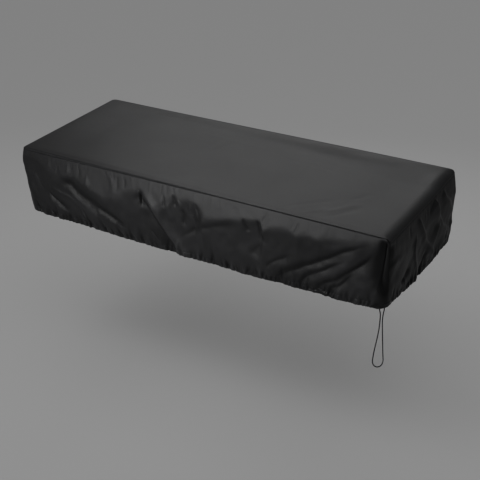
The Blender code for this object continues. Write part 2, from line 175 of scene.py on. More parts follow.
# Folds of the skirt, in millimetres. Each follows a route of (along, depth) points; over and under
# are its widths above and below the route; the power is 2 for a round fold and near 1 for a
# crease. It fades over shares of its route at its start and its end
# (rise, over, under, power, fade_in, fade_out, route)
FRONT_FOLDS = (
    (-5.6, 16, 15, 1.8, 0.2, 0.12,
     ((-192, 158), (-221, 146), (-247, 131), (-280, 112), (-314, 99), (-341, 86), (-365, 72),
      (-376, 44))),
    (1.7, 13, 14, 2.0, 0.25, 0.25,
     ((-382, 56), (-370, 83), (-351, 103), (-319, 129), (-285, 146), (-256, 157))),
    (-1.5, 4, 7, 1.3, 0.35, 0.15, ((-304, 90), (-264, 106), (-244, 121), (-219, 135), (-193, 154))),
    (-2.4, 8, 7, 1.8, 0.3, 0.2, ((-450, 100), (-426, 120), (-400, 138), (-378, 154))),
    (1.3, 8, 9, 2.0, 0.3, 0.2, ((-452, 116), (-430, 136), (-406, 153), (-390, 164))),
    (1.2, 4, 5, 2.0, 0.3, 0.3, ((-440, 86), (-405, 97), (-376, 107), (-347, 124), (-322, 144))),
    (1.5, 3, 4, 2.0, 0.3, 0.2, ((-344, 134), (-336, 147), (-326, 168), (-322, 180), (-322, 216))),
    (-1.7, 3, 4, 1.4, 0.3, 0.2, ((-349, 138), (-340, 156), (-331, 174), (-331, 216))),
    (1.3, 8, 9, 2.0, 0.3, 0.3, ((-490, 60), (-478, 90), (-462, 116))),
    (0.4, 5, 5, 2.0, 0.35, 0.35, ((-433, 4), (-433, 20), (-435, 36))),
    (-0.5, 4, 5, 1.6, 0.35, 0.35, ((-408, 16), (-406, 30), (-405, 46))),
    (0.6, 5, 6, 2.0, 0.35, 0.35, ((-373, 6), (-371, 22), (-375, 42))),
    (-0.5, 4, 4, 1.5, 0.35, 0.35, ((-355, 0), (-357, 14), (-362, 32))),
    (0.7, 5, 5, 2.0, 0.35, 0.35, ((-311, 24), (-309, 42), (-311, 64))),
    (-0.6, 5, 5, 1.6, 0.35, 0.35, ((-336, 10), (-334, 26), (-338, 44))),
    (0.8, 9, 7, 2.0, 0.35, 0.2, ((-238, 12), (-229, 36), (-226, 64))),
    (-0.8, 4, 5, 1.5, 0.3, 0.3, ((-214, 6), (-214, 26), (-213, 48))),
    (-0.6, 4, 4, 1.6, 0.35, 0.35, ((-192, 8), (-190, 22), (-193, 40))),
    (4.2, 20, 5, 1.7, 0.3, 0.1,
     ((-140, 28), (-121, 54), (-96, 90), (-66, 136), (-47, 168), (-38, 214))),
    (-5.6, 5, 22, 1.5, 0.08, 0.1,
     ((-146, 36), (-130, 63), (-106, 98), (-78, 142), (-60, 172), (-50, 216))),
    (-2.6, 4, 6, 1.3, 0.12, 0.4, ((-139, 31), (-139, 52), (-138, 84))),
    (1.8, 4, 4, 2.0, 0.12, 0.4, ((-146, 32), (-146, 54), (-147, 80))),
    (-1.8, 3, 4, 1.3, 0.2, 0.25, ((-120, 136), (-111, 146), (-94, 170))),
    (-1.5, 4, 4, 1.5, 0.3, 0.3, ((-71, 26), (-69, 44), (-67, 66))),
    (1.3, 7, 8, 2.0, 0.3, 0.3, ((-57, 40), (-54, 66), (-50, 102))),
    (-2.0, 4, 5, 1.3, 0.25, 0.3, ((-42, 20), (-40, 34), (-37, 54))),
    (1.1, 4, 4, 2.0, 0.3, 0.3, ((-32, 28), (-24, 44), (-20, 62))),
    (-2.4, 6, 7, 1.4, 0.3, 0.3, ((-18, 50), (-14, 74), (-20, 108))),
    (1.2, 5, 5, 2.0, 0.3, 0.3, ((4, 34), (6, 56), (6, 84))),
    (-3.0, 11, 8, 1.5, 0.3, 0.3, ((19, 28), (30, 60), (30, 98))),
    (-1.9, 8, 14, 1.6, 0.25, 0.25,
     ((-34, 146), (-8, 122), (24, 98), (56, 89), (88, 75), (122, 63), (154, 55))),
    (0.9, 12, 22, 2.0, 0.3, 0.3, ((-42, 168), (0, 130), (48, 106), (88, 94), (140, 84))),
    (-2.4, 4, 5, 1.3, 0.15, 0.25, ((157, 38), (164, 55), (171, 74))),
    (-3.2, 5, 6, 1.3, 0.12, 0.25, ((195, 33), (202, 56), (207, 84), (206, 98))),
    (-0.8, 3, 3, 1.5, 0.3, 0.3, ((225, 4), (215, 22), (207, 38))),
    (-0.6, 3, 3, 1.5, 0.3, 0.3, ((232, 16), (219, 34), (209, 52))),
    (-0.9, 3, 3, 1.5, 0.3, 0.3, ((308, 10), (300, 26), (292, 46))),
    (-0.5, 3, 3, 1.5, 0.3, 0.3, ((293, 11), (286, 25), (283, 36))),
    (-1.5, 8, 12, 1.6, 0.3, 0.3, ((215, 88), (193, 112), (168, 140))),
    (0.5, 10, 12, 2.0, 0.3, 0.3, ((180, 98), (162, 126), (142, 158))),
    (-1.9, 5, 12, 1.4, 0.2, 0.3, ((211, 164), (222, 144), (240, 132), (268, 114), (292, 103))),
    (-5.4, 7, 15, 1.3, 0.3, 0.03,
     ((484, 21), (441, 43), (404, 66), (364, 94), (338, 110), (298, 138), (264, 160), (249, 175),
      (246, 194), (246, 216))),
    (0.8, 10, 12, 2.0, 0.3, 0.2, ((482, 36), (443, 68), (403, 108), (362, 137), (322, 168))),
    (-3.6, 5, 13, 1.3, 0.3, 0.03,
     ((424, 82), (403, 94), (386, 107), (357, 129), (323, 154), (309, 174), (307, 192),
      (307, 216))),
    (-4.7, 7, 16, 1.3, 0.2, 0.03,
     ((494, 40), (470, 72), (442, 98), (425, 116), (401, 137), (372, 156), (356, 175), (354, 192),
      (354, 216))),
    (0.9, 9, 11, 2.0, 0.3, 0.2,
     ((486, 38), (452, 77), (412, 116), (380, 139), (350, 158), (330, 180), (330, 216))),
    (-2.7, 4, 8, 1.3, 0.25, 0.05,
     ((444, 108), (424, 133), (403, 158), (386, 168), (378, 190), (378, 216))),
    (1.0, 18, 22, 2.0, 0.35, 0.35, ((472, 96), (462, 126), (447, 158))),
    (-10.5, 21, 21, 2.0, 0.05, 0.35, ((519, 1), (518, 45), (518, 90), (522, 150))),
)
RIGHT_FOLDS = (
    (4.6, 8, 12, 1.8, 0.1, 0.1, ((-45, 2), (-18, 46), (6, 80), (28, 108), (68, 158), (84, 216))),
    (8.6, 7, 54, 1.7, 0.06, 0.25, ((64, 6), (88, 52), (112, 92), (145, 120), (176, 140))),
    (4.0, 7, 26, 1.8, 0.12, 0.2, ((120, 6), (150, 44), (176, 80), (196, 104))),
    (4.2, 24, 6, 1.8, 0.2, 0.15, ((90, 74), (78, 110), (64, 140), (56, 160))),
    (2.6, 16, 7, 1.8, 0.15, 0.1, ((208, 118), (164, 145), (120, 168), (104, 216))),
    (3.4, 10, 7, 1.8, 0.15, 0.15, ((-50, 44), (-53, 88), (-40, 126), (-26, 152), (-18, 216))),
    (4.6, 16, 34, 1.9, 0.25, 0.3, ((-206, 74), (-155, 60), (-104, 82), (-60, 112))),
    (-4.4, 12, 10, 1.8, 0.3, 0.3, ((-128, 146), (-96, 138), (-64, 122))),
    (-5.6, 20, 20, 2.0, 0.05, 0.3, ((-208, 1), (-208, 45), (-209, 100), (-208, 160))),
    (-5.4, 12, 13, 1.5, 0.2, 0.05, ((22, 122), (16, 148), (2, 180), (-6, 216))),
    (-3.2, 10, 10, 1.5, 0.25, 0.05, ((-48, 158), (-66, 172), (-88, 184), (-96, 216))),
    (-1.2, 5, 6, 1.6, 0.3, 0.35, ((-96, 4), (-92, 22), (-88, 46))),
    (1.0, 4, 5, 1.8, 0.3, 0.35, ((2, 4), (3, 20), (6, 44))),
    (0.9, 4, 4, 1.8, 0.3, 0.35, ((20, 4), (22, 18), (23, 38))),
)
BACK_FOLDS = (
    (-4.4, 7, 15, 1.4, 0.25, 0.05,
     ((494, 26), (452, 58), (410, 92), (384, 128), (372, 168), (371, 186), (371, 216))),
    (1.6, 12, 10, 2.0, 0.3, 0.2, ((470, 58), (436, 100), (404, 140))),
    (-3.6, 6, 13, 1.4, 0.25, 0.05,
     ((440, 66), (396, 104), (352, 140), (322, 168), (318, 184), (318, 216))),
    (-2.2, 5, 8, 1.5, 0.3, 0.25, ((452, 112), (428, 138), (414, 166))),
    (-1.4, 4, 5, 1.5, 0.3, 0.3, ((346, 12), (340, 34), (342, 58))),
    (3.0, 14, 8, 1.8, 0.2, 0.2, ((272, 44), (240, 78), (214, 120), (196, 158))),
    (-3.2, 5, 15, 1.5, 0.2, 0.15, ((266, 56), (228, 92), (204, 134), (188, 172), (188, 216))),
    (1.8, 16, 18, 2.0, 0.3, 0.3, ((180, 60), (120, 96), (66, 142))),
    (-2.6, 6, 12, 1.4, 0.25, 0.2, ((150, 46), (104, 70), (44, 92), (-12, 126), (-34, 158))),
    (-2.0, 4, 6, 1.4, 0.2, 0.25, ((62, 32), (56, 58), (60, 88))),
    (-1.6, 4, 5, 1.5, 0.3, 0.3, ((18, 20), (12, 40), (14, 62))),
    (2.4, 12, 12, 2.0, 0.3, 0.25, ((-40, 40), (-84, 84), (-112, 136))),
    (-3.4, 6, 14, 1.4, 0.2, 0.06,
     ((-66, 34), (-112, 74), (-150, 122), (-166, 164), (-168, 184), (-168, 216))),
    (-2.4, 5, 10, 1.4, 0.2, 0.08, ((-126, 78), (-176, 116), (-212, 152), (-224, 184), (-224, 216))),
    (1.6, 14, 16, 2.0, 0.3, 0.3, ((-226, 66), (-246, 108), (-252, 148))),
    (-1.8, 4, 6, 1.5, 0.25, 0.3, ((-262, 24), (-268, 48), (-264, 76))),
    (-3.0, 14, 6, 1.4, 0.2, 0.1, ((-318, 46), (-290, 84), (-276, 128), (-280, 176), (-280, 216))),
    (3.2, 8, 14, 1.8, 0.2, 0.15, ((-336, 52), (-310, 92), (-298, 136), (-302, 172), (-302, 216))),
    (-2.2, 5, 9, 1.4, 0.25, 0.2, ((-372, 70), (-356, 104), (-350, 142))),
    (-4.2, 14, 7, 1.4, 0.25, 0.05,
     ((-492, 34), (-448, 70), (-410, 112), (-388, 156), (-384, 186), (-384, 216))),
    (1.8, 10, 12, 2.0, 0.3, 0.2, ((-486, 58), (-446, 100), (-418, 142))),
    (-3.2, 12, 6, 1.4, 0.25, 0.06,
     ((-488, 84), (-462, 118), (-444, 152), (-438, 184), (-438, 216))),
)
LEFT_FOLDS = (
    (-2.8, 6, 13, 1.4, 0.2, 0.06,
     ((178, 26), (142, 62), (112, 106), (98, 150), (96, 184), (96, 216))),
    (1.6, 10, 9, 2.0, 0.25, 0.2, ((150, 32), (118, 72), (92, 120))),
    (-2.0, 5, 9, 1.4, 0.2, 0.1, ((120, 52), (82, 96), (62, 140), (58, 178), (58, 216))),
    (-1.3, 4, 5, 1.5, 0.3, 0.3, ((58, 14), (54, 36), (57, 60))),
    (1.7, 12, 12, 2.0, 0.3, 0.3, ((28, 40), (10, 86), (6, 132))),
    (-2.1, 5, 11, 1.4, 0.2, 0.1, ((6, 38), (-22, 78), (-36, 126), (-38, 172), (-38, 216))),
    (-1.1, 4, 5, 1.5, 0.3, 0.3, ((-62, 18), (-58, 42), (-62, 68))),
    (1.7, 8, 12, 1.8, 0.2, 0.2, ((-118, 42), (-92, 82), (-82, 130))),
    (-2.7, 12, 6, 1.4, 0.2, 0.06,
     ((-178, 28), (-142, 66), (-112, 110), (-100, 154), (-99, 182), (-99, 216))),
    (-2.0, 10, 5, 1.4, 0.2, 0.1, ((-186, 84), (-162, 118), (-148, 158), (-146, 180), (-146, 216))),
)
FOLDS = (FRONT_FOLDS, RIGHT_FOLDS, BACK_FOLDS, LEFT_FOLDS)

# Points of a route, how far a fold reaches and how wide it is at both ends, in widths, how far the
# routes sway, and the share of the wall's depth over which folds come in
FOLD_STEPS = 60
FOLD_REACH = 3.2
FOLD_WIDTHS = (0.5, 1.3)
FOLD_SWAY = 0.0022
FOLDS_START = 0.10

# Soft noises on the wall, and the depths over which the puckers and rumples come in
# (cells in one turn round it, height of a cell, rows of cells, seed, shift)
SWAY_NOISES = ((110, 0.028, 13, 41, 3.0), (110, 0.028, 13, 42, 3.0))
SCALLOP_NOISES = ((150, 1.0, 2, 11, 0.0), (260, 1.0, 2, 12, 0.0))
RUMPLE_NOISES = ((38, 0.075, 5, 23, 2.0), (74, 0.050, 9, 21, 0.0), (190, 0.021, 17, 22, 0.0))
RUMPLES = (0.0, 0.0007, 0.00028)
RUMPLES_BELOW = (0.0018, 0.0007, 0.0003)
PUCKER_START = 0.006
RUMPLE_START = 0.03
CREST_WIDTH = 0.02

# Gathers of the hem and puckers below the seam, in millimetres: small tucks, one after the other
# round the cover, of sizes from the least to the most. A bunched row has them closer together along
# the bunched stretches of the way round
# (sign, start, spacing, width, length, rise, seed, bunched)
GATHERS = (
    (-1, 2, (8, 18), (2.4, 4.6), (14, 40), (1.4, 3.8), 3, True),
    (1, 8, (9, 22), (2.6, 5.2), (12, 36), (0.6, 2.2), 7, True),
    (-1, 11, (26, 70), (3.2, 7.0), (36, 90), (1.2, 3.4), 4, False),
    (1, 19, (24, 60), (4.0, 8.0), (30, 80), (0.8, 2.4), 6, False),
    (-1, 4, (5, 11), (1.6, 2.8), (12, 30), (0.5, 1.7), 8, False),
)
PUCKERS = (1, 5, (12, 34), (2.0, 4.2), (16, 56), (-0.55, 0.55), 5, False)
BUNCHED = ((620, 760), (860, 1080), (1090, 1200))
BUNCHED_SPACING = 0.6
MOST_LEAN = 0.35

# The gathers are calmer at the hem's edge and pull it up a little; the casing puffs out below its
# row of stitches
EDGE_CALM = 0.5
EDGE_REACH = 0.014
CASING_PUFF = 0.0003
CASING_FOOT = 0.002
CASING_HEAD = 0.004
STITCH_GROOVE = 0.00035
STITCH_GROOVE_WIDTH = 0.0014
EDGE_PULL = 0.2
MOST_PULL = 0.003
PULL_REACH = 0.012

# Painted shade and wear of the skirt: on its folds and gathers, painted shade darkens their hollows
# and wear pales their ridges, of so much for such a height but no more or less than the limits; and
# wear at its seam and hem, of so much over such a reach
FOLD_SHADE_AND_WEAR = (0.009, -0.5, 0.25)
GATHER_SHADE_AND_WEAR = (0.005, -0.5, 0.5)
GATHER_SHADE_AND_WEAR_REACH = 0.05
SEAM_WEAR = (0.3, 0.003)
HEM_WEAR = (0.2, 0.006)

# Rolled rim of the top, in millimetres: how far it turns in and down on each side
RIM_INSET = (7, 29, 11, 9)
RIM_DROP = (4, 11, 6, 5)
RIM_SQUARENESS = (0.7, 1.1, 0.9, 0.9)
RIM_CREST_RADIUS = 0.012

# Rows of the rim: its foot inside the seam, in millimetres (outwards, up), where its roll starts
# above the seam, the turns of the roll in degrees, and the steps in to the level part
RIM_FOOT = ((-2.8, -0.4), (-1.2, -0.1), (-0.3, 0.2))
ROLL_START = 0.0005
ROLL_TURNS = (0.0, 9.0, 18.0, 28.0, 39.0, 51.0, 64.0, 77.0, 90.0)
LEVEL_STEPS = (0.12, 0.26, 0.42, 0.60, 0.80)
LEVEL_INSET = 0.036

# Rise of the top to its lifted back and right edges: the width of the rise, wider at the right of
# the back edge, and of the level strip beyond it
BACK_RISE = 0.072
BACK_RISE_MORE = 0.050
MORE_FROM = 0.16
MORE_OVER = 0.28
BACK_LEVEL = 0.012
RIGHT_RISE = 0.046
RIGHT_LEVEL = 0.016
MOST_LIFT = 0.007

# Sag of the top, its slack in cells (across, deep, seed, share) and how many cells its noise has
# each way, and the faint line that the seam allowance presses into it
SAG = 0.0036
SAG_HALF_WIDTH = 0.195
SAG_END = 0.12
SLACK = 0.0005
SLACK_EDGE = 0.05
SLACK_CELLS = ((0.15, 0.10, 31, 1.0), (0.055, 0.04, 32, 0.35))
SLACK_COUNT = 40
ALLOWANCE_INSET = 0.0125
ALLOWANCE_WIDTH = 0.0018
ALLOWANCE_DEPTH = 0.00045
ALLOWANCE_HALF_LENGTH = 0.46
ALLOWANCE_END = 0.05

# Folds that lie on the top, in millimetres, along (x, y) points; over is on the back's side
# (rise, over, under, power, fade_in, fade_out, route)
TOP_FOLDS = (
    (-0.8, 18, 24, 2.0, 0.15, 0.15,
     ((-440, 178), (-206, 168), (-41, 162), (115, 155), (263, 149), (399, 154), (480, 170))),
    (-0.8, 10, 9, 2.0, 0.3, 0.3, ((345, -188), (372, -152), (391, -119), (410, -80))),
    (0.8, 10, 9, 2.0, 0.3, 0.3, ((330, -170), (356, -136), (374, -104), (392, -70))),
    (0.75, 8, 8, 2.0, 0.35, 0.35, ((292, -196), (322, -160), (350, -128))),
    (-0.55, 9, 8, 2.0, 0.35, 0.35, ((236, -190), (300, -120), (352, -70))),
    (0.35, 9, 8, 2.0, 0.35, 0.35, ((-250, 120), (-60, 108), (120, 96))),
    (-0.35, 8, 9, 2.0, 0.35, 0.35, ((60, 80), (210, 68), (330, 60))),
    (-0.6, 9, 9, 2.0, 0.3, 0.3, ((362, -70), (380, -38), (398, 0))),
    (0.5, 12, 12, 2.0, 0.3, 0.3, ((-90, 20), (-79, 80), (-64, 126))),
)

# Soft roll of the top towards its front seam, in millimetres
# (along, fall, reach)
FRONT_ROLL = (
    (-525, 0.5, 18), (-440, 0.8, 26), (-355, 1.0, 28), (-220, 1.0, 26), (-150, 0.7, 20),
    (-60, 0.4, 15), (525, 0.2, 12),
)

# How worn each row of the rim is: rows, and the wear at them
RIM_WEAR = ((0, 3, 6, 14), (0.0, 0.4, 0.2, 0.05))

# The drawcord's loop, as the solids have it: its exits from the hem, and its route between them in
# millimetres from midway: along the hem, down, and outwards
CORD_DIAMETER = 0.003
CORD_LENGTH = 0.347
CORD_START = (0.50723, -0.19838, -0.18773)
CORD_END = (0.51426, -0.18746, -0.18814)
CORD_ROUTE = (
    (-5.9, 5.0, -0.2), (-3.8, 12.0, -0.3), (-2.6, 21.0, -0.5), (-2.3, 39.0, -0.8),
    (-3.3, 59.0, -1.0), (-5.4, 75.0, -1.0), (-8.0, 91.0, -0.9), (-12.2, 114.0, -0.6),
    (-15.0, 134.0, -0.3), (-15.3, 146.0, -0.1), (-12.7, 154.0, 0.0), (-7.6, 160.2, 0.2),
    (-0.2, 164.2, 0.4), (7.7, 163.6, 0.6), (12.5, 158.6, 0.8), (14.2, 150.4, 0.9),
    (13.3, 139.0, 1.0), (11.8, 127.0, 1.1), (9.9, 107.6, 1.2), (7.5, 84.0, 1.1),
    (5.4, 61.0, 0.9), (3.9, 41.0, 0.6), (4.0, 28.0, 0.3), (5.2, 15.0, 0.1),
    (7.0, 6.0, 0.0),
)
CORD_RINGS = 420
CORD_SIDES = 16
BRAID_TURNS = 150
BRAID_STRANDS = 4
BRAID_RELIEF = 0.00014

# The casing's stitches; along each, where its four sections lie, how wide they are and how high
# their middles stand, and round a section, its corners (across, up)
STITCH_PITCH = 0.0034
STITCH_LENGTH = 0.0024
STITCH_WIDTH = 0.0005
STITCH_SHARES = (0.0, 0.25, 0.75, 1.0)
STITCH_WIDTHS = (0.25, 1.0, 1.0, 0.25)
STITCH_HEIGHTS = (-0.3, 0.45, 0.45, -0.3)
STITCH_CORNERS = ((-1, -1), (-0.6, 0.8), (0.6, 0.8), (1, -1))
STITCH_ROUNDING = 0.35

# Colours, and the distance between two yarns of the weave
NYLON_COLOUR = (0.0115, 0.0115, 0.012)
CORD_COLOUR = (0.012, 0.012, 0.013)
FLOOR_COLOUR = (0.36, 0.36, 0.36)
ROOM_COLOUR = (0.24, 0.24, 0.24)
YARN_PITCH = 0.0009

# Where the camera stands, and the level of the floor under the cover
CAMERA_PLACE = (1.21487, -2.05178, 1.03155)
CAMERA_YAW = 30.198
CAMERA_PITCH = 27.998
FOCAL_PIXELS = 1002.0
IMAGE_SIDE = 480
SENSOR = 36.0
FLOOR_LEVEL = -0.618
FLOOR_SIZE = 60.0


def smooth(share):
    """Eased 0 to 1."""
    share = np.clip(share, 0.0, 1.0)
    return share * share * (3.0 - 2.0 * share)


def ridge(away, width):
    """A rounded bump, 1 in the middle."""
    return np.exp(-((away / width) ** 2))


def travelled(points):
    """Distance along a line of points, at each of them."""
    steps = np.linalg.norm(np.diff(points, axis=0), axis=1)
    return np.concatenate(([0.0], np.cumsum(steps)))


def smooth_path(points, count, steps=24):
    """Evenly spaced points on a smooth curve through the given ones."""
    points = np.array(points, float)
    padded = np.vstack((2 * points[0] - points[1], points, 2 * points[-1] - points[-2]))
    dense = []
    for p0, p1, p2, p3 in zip(padded, padded[1:], padded[2:], padded[3:]):
        bend, twist = 2 * p0 - 5 * p1 + 4 * p2 - p3, 3 * p1 - p0 - 3 * p2 + p3
        for t in np.linspace(0.0, 1.0, steps, endpoint=False):
            dense.append(p1 + 0.5 * ((p2 - p0) * t + bend * t * t + twist * t**3))
    dense = np.array([*dense, points[-1]])
    reached = travelled(dense)
    at = np.linspace(0.0, reached[-1], count)
    return np.stack([np.interp(at, reached, row) for row in dense.T], axis=1)


def soft_noise(u, v, across, down, seed):
    """Smooth noise from -1 to 1 over u and v, both in cells, with so many cells across and down."""
    table = np.random.default_rng(seed).uniform(-1.0, 1.0, (across, down))
    i, j = np.floor(u).astype(int), np.floor(v).astype(int)
    a, b = smooth(u - i), smooth(v - j)
    i0, j0, i1, j1 = i % across, j % down, (i + 1) % across, (j + 1) % down
    low = table[i0, j0] * (1 - a) + table[i1, j0] * a
    high = table[i0, j1] * (1 - a) + table[i1, j1] * a
    return low * (1 - b) + high * b


def wall_noise(turn, depth, noise):
    """Soft noise on the wall."""
    cells, height, down, seed, shift = noise
    return soft_noise(turn * cells, depth / height + shift, cells, down, seed)


class Round:
    """The columns of a closed ring round the cover.

    Each has the side it is on, its share along that side, and its turn round the corner at the
    side's end, from 0 to 1.
    """

    def __init__(self, columns, corner):
        rows = []
        for side, count in enumerate(columns):
            rows += [(side, k / count, 0.0) for k in range(count)]
            rows += [(side, 1.0, k / corner) for k in range(corner)]
        table = np.array(rows)
        self.count = len(rows)
        self.side = table[:, 0].astype(int)
        self.share = table[:, 1]
        self.turn = table[:, 2]
        self.angle = SIDE_ANGLES[self.side] + 0.5 * math.pi * self.turn
        starts, ends = SIDE_STARTS[self.side], SIDE_STARTS[(self.side + 1) % 4]
        self.middle = starts + (ends - starts) * self.share[:, None]

    def outline(self, radius, outwards=0.0, insets=(0.0, 0.0, 0.0, 0.0)):
        """X and Y on the rounded rectangle, with its sides moved in by the insets."""
        front, right, back, left = insets
        half_x = (LENGTH - left - right) / 2 - radius
        half_y = (WIDTH - front - back) / 2 - radius
        reach = radius + outwards
        x = (left - right) / 2 + half_x * self.middle[:, 0] + reach * np.cos(self.angle)
        y = (front - back) / 2 + half_y * self.middle[:, 1] + reach * np.sin(self.angle)
        return x, y

    def eased(self, values):
        """A value that each side has, eased from one to the next round the corners."""
        values = np.array(values, float)
        here, there = values[self.side], values[(self.side + 1) % 4]
        return here + (there - here) * smooth(self.turn)

    def wall_values(self):
        """Lift, bulge, crest depth, hem inset and hem drop at each column, in metres."""
        x, y = self.outline(SEAM_RADIUS)
        found = []
        for i in range(self.count):
            pair = []
            for side in (self.side[i], (self.side[i] + 1) % 4):
                table = np.array(sorted(WALLS[side])) * MM
                at = x[i] if side % 2 == 0 else y[i]
                pair.append(np.array([np.interp(at, table[:, 0], row) for row in table[:, 1:].T]))
            found.append(pair[0] + (pair[1] - pair[0]) * smooth(self.turn[i]))
        return np.array(found).T

    def seam_height(self, lift):
        """Height of the seam, with the rim lifted so far."""
        return LEVEL + lift - self.eased(RIM_DROP) * MM


def skewed(x, y):
    """X with the left end's back corner moved out."""
    towards_left = np.maximum(0.0, -2.0 * x / LENGTH) ** 3
    return x - LEFT_SKEW * towards_left * (y / WIDTH + 0.5)


def folds_over(at, depth, folds, weight):
    """Sum of the folds at points given as (at, depth) in metres."""
    total = np.zeros(at.shape)
    for rise, over, under, power, fade_in, fade_out, route in folds:
        curve = smooth_path(np.array(route) * MM, FOLD_STEPS)
        reach = FOLD_REACH * max(over, under) * MM
        low, high = curve.min(0) - reach, curve.max(0) + reach
        near = (weight > 0.0) & (at > low[0]) & (at < high[0])
        near &= (depth > low[1]) & (depth < high[1])
        points = np.stack((at[near], depth[near]), axis=-1)
        apart = points[:, None, :] - curve[None]
        far = (apart**2).sum(-1)
        nearest = far.argmin(1)
        each = np.arange(len(points))
        away, gap = np.sqrt(far[each, nearest]), apart[each, nearest]
        along = np.gradient(curve, axis=0)[nearest]
        across = along[:, 0] * gap[:, 1] - along[:, 1] * gap[:, 0]
        below = across * np.where(along[:, 0] < 0, -1, 1) > 0
        share = nearest / (FOLD_STEPS - 1)
        widening = FOLD_WIDTHS[0] + (FOLD_WIDTHS[1] - FOLD_WIDTHS[0]) * share
        width = np.where(below, under, over) * MM * widening
        taper = smooth(share / fade_in) * smooth((1.0 - share) / fade_out)
        total[near] += rise * MM * taper * weight[near] * np.exp(-((away / width) ** power))
    return total


def tucks(round_it, depth, perimeter, row):
    """A row of small tucks that run up or down from an edge; round_it is the distance round."""
    sign, start, spacing, width, length, rise, seed, bunched = row
    rng = np.random.default_rng(seed)
    total = np.zeros(depth.shape)
    at = start * MM
    while at < perimeter + (start - spacing[0]) * MM:
        close = bunched and any(low * MM < at < high * MM for low, high in BUNCHED)
        w, tall, high = (rng.uniform(*pair) * MM for pair in (width, length, rise))
        lean = rng.uniform(-MOST_LEAN, MOST_LEAN)
        gap = (round_it - at - lean * depth + perimeter / 2) % perimeter - perimeter / 2
        total += high * ridge(gap, w) * smooth(1.0 - depth / tall)
        at += rng.uniform(*spacing) * MM * (BUNCHED_SPACING if close else 1.0)
    return sign * total


def surface_normals(grid):
    """Unit normals of a stack of closed rings, pointing out of the cover."""
    round_it = np.roll(grid, -1, axis=1) - np.roll(grid, 1, axis=1)
    down = np.gradient(grid, axis=0)
    normal = np.cross(down, round_it)
    return normal / np.maximum(np.linalg.norm(normal, axis=2, keepdims=True), 1e-9)


def sheet_object(name, points, faces, flat_uv, shade_and_wear, material):
    """A smooth-shaded mesh object with its flat cut as a UV map in metres, and its painted shade
    and wear.
    """
    mesh = bpy.data.meshes.new(name)
    mesh.from_pydata(points.tolist(), [], faces)
    corners = np.empty(len(mesh.loops), np.int32)
    mesh.loops.foreach_get("vertex_index", corners)
    uv = mesh.uv_layers.new(name="cut")
    uv.data.foreach_set("uv", flat_uv[corners].astype(np.float32).ravel())
    attribute = mesh.attributes.new("shade_and_wear", "FLOAT", "POINT")
    attribute.data.foreach_set("value", shade_and_wear.astype(np.float32))
    mesh.validate()
    mesh.shade_smooth()
    mesh.materials.append(material)
    obj = bpy.data.objects.new(name, mesh)
    bpy.context.scene.collection.objects.link(obj)
    return obj


def ring_faces(upper, lower):
    """Quads between two closed rings of point numbers, the lower one further down the outside."""
    next_upper, next_lower = np.roll(upper, -1), np.roll(lower, -1)
    return np.stack((upper, lower, next_lower, next_upper), axis=1).tolist()


def join_halved(fine, coarse, flip=False):
    """Faces between a closed ring and one with half as many points."""
    faces = []
    for j, here in enumerate(coarse):
        k, there = 2 * j, coarse[(j + 1) % len(coarse)]
        face = [fine[k], here, there, fine[(k + 2) % len(fine)], fine[k + 1]]
        faces.append([int(n) for n in (face[::-1] if flip else face)])
    return faces


def skirt_depths(drop):
    """Depth of every row below the seam, for each column."""
    top = np.array(SEAM_ZONE)[:, None] * MM + 0 * drop
    bottom = drop - np.array(HEM_ZONE)[:, None] * MM
    shares = np.linspace(0.0, 1.0, MIDDLE_ROWS + 2)[1:-1, None]
    return np.vstack((top, top[-1] + (bottom[0] - top[-1]) * shares, bottom))


def plain_wall(depth, drop, bulge, crest, hem_inset):
    """How far out the wall lies, without its folds."""
    out_slope = bulge / crest
    in_slope = (hem_inset + bulge) * (1 - LATE_PART) / (drop - crest)
    bend = CREST_SOFTNESS * np.logaddexp(0.0, (depth - crest) / CREST_SOFTNESS)
    under = np.clip((depth - crest) / (drop - crest), 0.0, 1.0)
    late_tuck = LATE_PART * (bulge + hem_inset) * under**LATE_POWER
    return out_slope * depth - (out_slope + in_slope) * bend - late_tuck


def wall_folds(ring, radius, turn, depth):
    """The folds of all four sides, which meet round the corners."""
    x, y = ring.outline(radius)
    sway = [wall_noise(turn, depth, noise) * FOLD_SWAY for noise in SWAY_NOISES]
    folds = np.zeros(depth.shape)
    for k, rows in enumerate(FOLDS):
        towards = np.clip(np.cos(ring.angle - SIDE_ANGLES[k]), 0.0, 1.0)
        towards = np.broadcast_to(np.where(towards < 1e-6, 0.0, towards), depth.shape)
        at = (x if k % 2 == 0 else y) + sway[0]
        folds += folds_over(at, depth + sway[1], rows, towards)
    return folds


def hem_gathers(wide, above, perimeter):
    """The gathers of the hem, and its casing, which puffs out below the row of stitches."""
    gathers = sum(tucks(wide, above, perimeter, row) for row in GATHERS)
    gathers *= EDGE_CALM + (1.0 - EDGE_CALM) * smooth(above / EDGE_REACH)
    gathers += CASING_PUFF * smooth(above / CASING_FOOT) * smooth((CASING - above) / CASING_HEAD)
    return gathers - STITCH_GROOVE * ridge(above - CASING, STITCH_GROOVE_WIDTH)


def wall_rumple(turn, depth, crest):
    """Rumples of three sizes, stronger below the crest."""
    low = smooth((depth - crest) / CREST_WIDTH)
    total = np.zeros(depth.shape)
    for noise, high, more in zip(RUMPLE_NOISES, RUMPLES, RUMPLES_BELOW):
        total += (high + low * more) * wall_noise(turn, depth, noise)
    return total * smooth(depth / RUMPLE_START)


